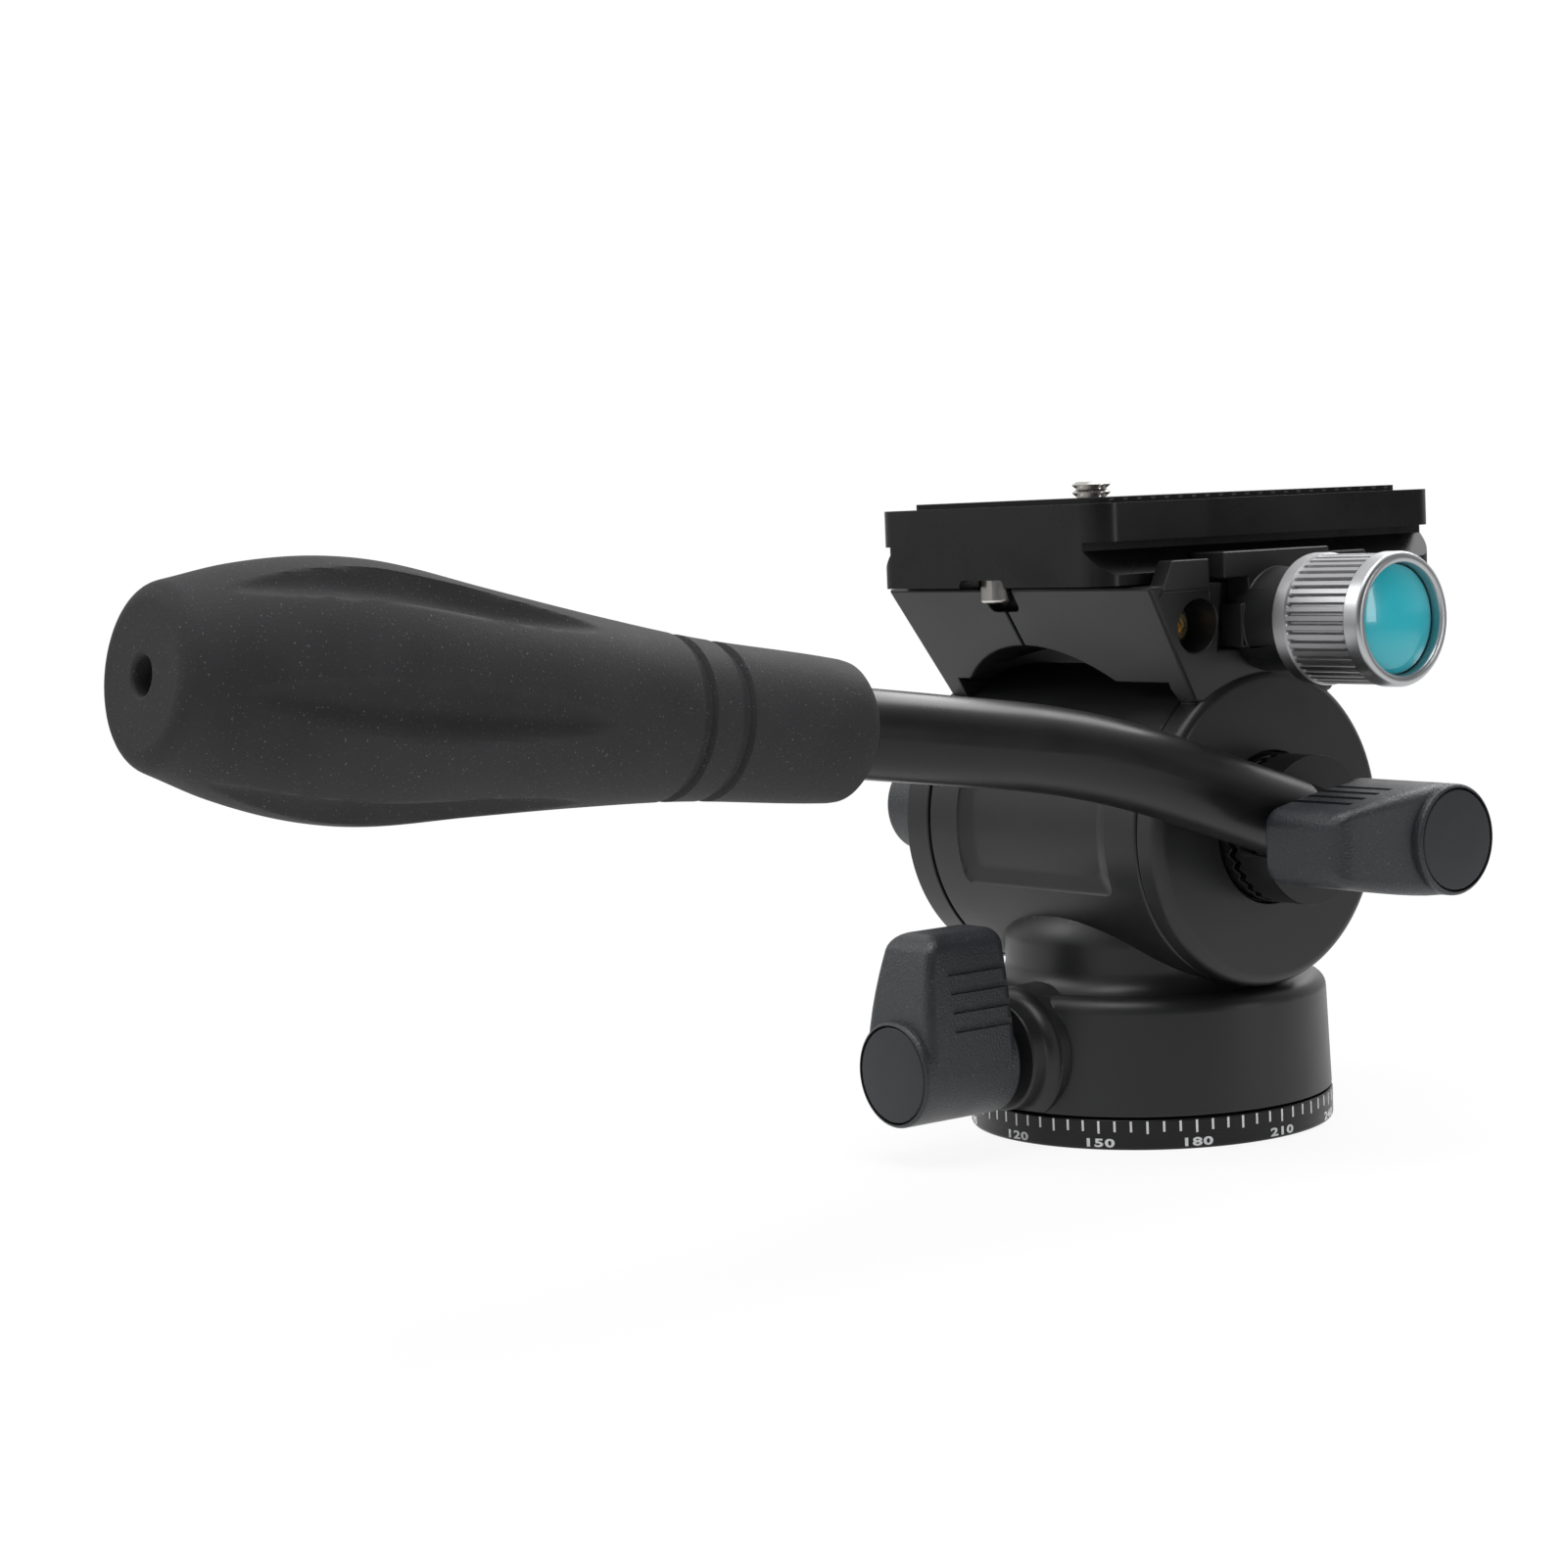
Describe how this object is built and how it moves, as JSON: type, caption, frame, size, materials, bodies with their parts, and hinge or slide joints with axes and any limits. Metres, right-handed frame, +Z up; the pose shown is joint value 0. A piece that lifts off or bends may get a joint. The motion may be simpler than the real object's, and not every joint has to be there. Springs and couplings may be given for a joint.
{
  "type": "fluid video head",
  "caption": "Compact fluid video head: pan base with degree scale, tilt bracket round a drum, quick release plate and clamp, curved handle with moulded grip.",
  "frame": {"origin": "centre of the base disc's underside, where the pan axis meets the tripod", "axes": "+Z up the pan axis, +X along the tilt axis towards the handle's side, -Y towards the operator, so the handle points to -Y"},
  "size_m": [0.1236, 0.2471, 0.1058],
  "materials": {
    "casting": "die cast, satin black powder coat",
    "anodised": "machined, matt black anodised",
    "scale_disc": "turned, satin black, white degree scale",
    "bare_aluminium": "machined, bare",
    "tube": "satin black tube",
    "clamp_knob": "fluted, satin, polished front ring",
    "steel": "bright zinc plated",
    "brass": "turned brass",
    "teal_cap": "glossy teal, domed",
    "knob_plastic": "fine grained black moulding",
    "nylon": "natural nylon",
    "grip_rubber": "fine grained soft black rubber",
    "pad_rubber": "ribbed black rubber"
  },
  "bodies": {
    "mount_base": {"base_disc": "scale_disc", "thread_bush": "steel", "pan_spindle": "steel", "base_screw_1": "steel", "base_screw_2": "steel", "base_screw_3": "steel", "pan_washer": "steel", "pan_nut": "steel"},
    "pan_body": {"head_body": "casting", "pan_drag_ring": "nylon", "pan_brake_shoe": "brass", "tilt_cartridge": "bare_aluminium", "drum_bush_left": "bare_aluminium", "drum_bush_right": "bare_aluminium"},
    "pan_lock": {"pan_knob": "knob_plastic", "pan_knob_cap": "knob_plastic", "pan_knob_stud": "steel"},
    "tilt_frame": {"tilt_bracket": "casting", "tilt_axle": "steel", "tilt_rotor": "nylon", "rosette": "anodised", "bed_screw": "brass", "jaw_pin_front": "steel", "jaw_pin_rear": "steel"},
    "tilt_lock": {"tilt_knob": "knob_plastic", "tilt_knob_cap": "knob_plastic", "tilt_knob_stud": "steel"},
    "handle": {"handle_hub": "knob_plastic", "handle_tube": "tube", "handle_lug": "tube", "handle_spacer": "steel", "handle_grip": "grip_rubber"},
    "handle_lock": {"handle_knob": "knob_plastic", "handle_knob_cap": "knob_plastic", "handle_knob_stud": "steel"},
    "jaw": {"clamp_jaw": "anodised"},
    "clamp": {"clamp_knob": "clamp_knob", "clamp_cap": "teal_cap", "clamp_screw": "steel"},
    "plate": {"quick_plate": "anodised", "plate_pad": "pad_rubber", "plate_stop_front": "steel", "plate_stop_rear": "steel"},
    "screw_slide": {"screw_washer": "nylon"},
    "screw": {"camera_screw": "steel"}
  },
  "joints": [
    {"name": "pan", "type": "hinge", "parent": "mount_base", "child": "pan_body", "pos_m": [0, 0, 0.0052], "axis": [0, 0, 1], "continuous": true},
    {"name": "tilt", "type": "hinge", "parent": "pan_body", "child": "tilt_frame", "pos_m": [0, 0, 0.04995], "axis": [1, 0, 0], "range_deg": [-80, 55]},
    {"name": "pan_lock_turn", "type": "hinge", "parent": "pan_body", "child": "pan_lock", "pos_m": [0, -0.0364, 0.0146], "axis": [0, -1, 0], "continuous": true},
    {"name": "tilt_lock_turn", "type": "hinge", "parent": "tilt_frame", "child": "tilt_lock", "pos_m": [-0.0364, 0, 0.04995], "axis": [-1, 0, 0], "continuous": true},
    {"name": "handle_angle", "type": "hinge", "parent": "tilt_frame", "child": "handle", "pos_m": [0.0319, 0, 0.04995], "axis": [1, 0, 0], "range_deg": [-30, 200]},
    {"name": "handle_lock_turn", "type": "hinge", "parent": "handle", "child": "handle_lock", "pos_m": [0.0476, 0, 0.04995], "axis": [1, 0, 0], "continuous": true},
    {"name": "jaw_slide", "type": "slide", "parent": "tilt_frame", "child": "jaw", "axis": [1, 0, 0], "range_m": [0, 0.00251]},
    {"name": "clamp_turn", "type": "hinge", "parent": "jaw", "child": "clamp", "pos_m": [0.04, 0, 0.083], "axis": [1, 0, 0], "range_deg": [0, 720]},
    {"name": "plate_slide", "type": "slide", "parent": "tilt_frame", "child": "plate", "axis": [0, -1, 0], "range_m": [-0.001, 0.0077]},
    {"name": "screw_place", "type": "slide", "parent": "plate", "child": "screw_slide", "axis": [0, 1, 0], "range_m": [-0.0055, 0.0195]},
    {"name": "screw_turn", "type": "hinge", "parent": "screw_slide", "child": "screw", "pos_m": [0, -0.009, 0.0896], "axis": [0, 0, 1], "continuous": true}
  ],
  "couplings": [
    {"joint": "jaw_slide", "follows": "clamp_turn", "m_per_rad": 0.00019894}
  ]
}
